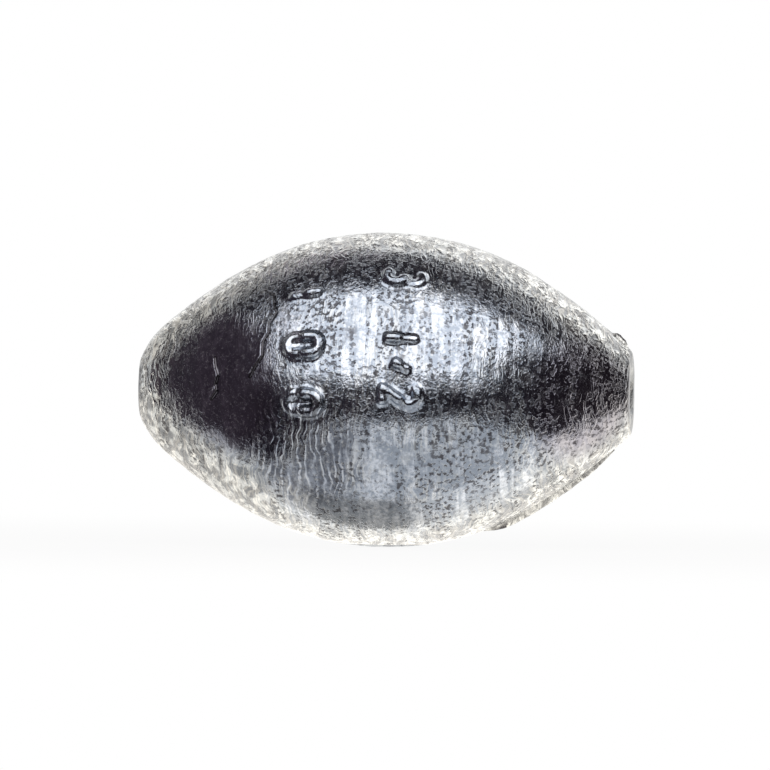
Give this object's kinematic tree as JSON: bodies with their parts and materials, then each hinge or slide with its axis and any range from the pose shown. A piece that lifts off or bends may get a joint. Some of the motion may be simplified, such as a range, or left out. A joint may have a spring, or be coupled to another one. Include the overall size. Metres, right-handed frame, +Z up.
{
  "type": "fishing sinker",
  "caption": "Egg-shaped cast lead fishing sinker with a straight through hole for the line, flat ends, raised weight figures and slivers of mould flash.",
  "frame": {"origin": "middle of the line hole, on its axis, half way between the two flat ends", "axes": "+X along the hole, towards the picture's right-hand end; +Z up in the picture, away from the long flash; the weight figures face -Y and the mould's parting plane is XZ"},
  "size_m": [0.0358, 0.0231, 0.0228],
  "materials": {
    "lead_skin": "mottled blue-grey lead, as cast, pitted and half shiny",
    "lead_flash": "pale matt lead, torn thin, dark where it meets the body"
  },
  "bodies": {
    "root": {"cast_body": "lead_skin", "lower_flash": "lead_flash", "upper_flash": "lead_flash"}
  },
  "joints": []
}
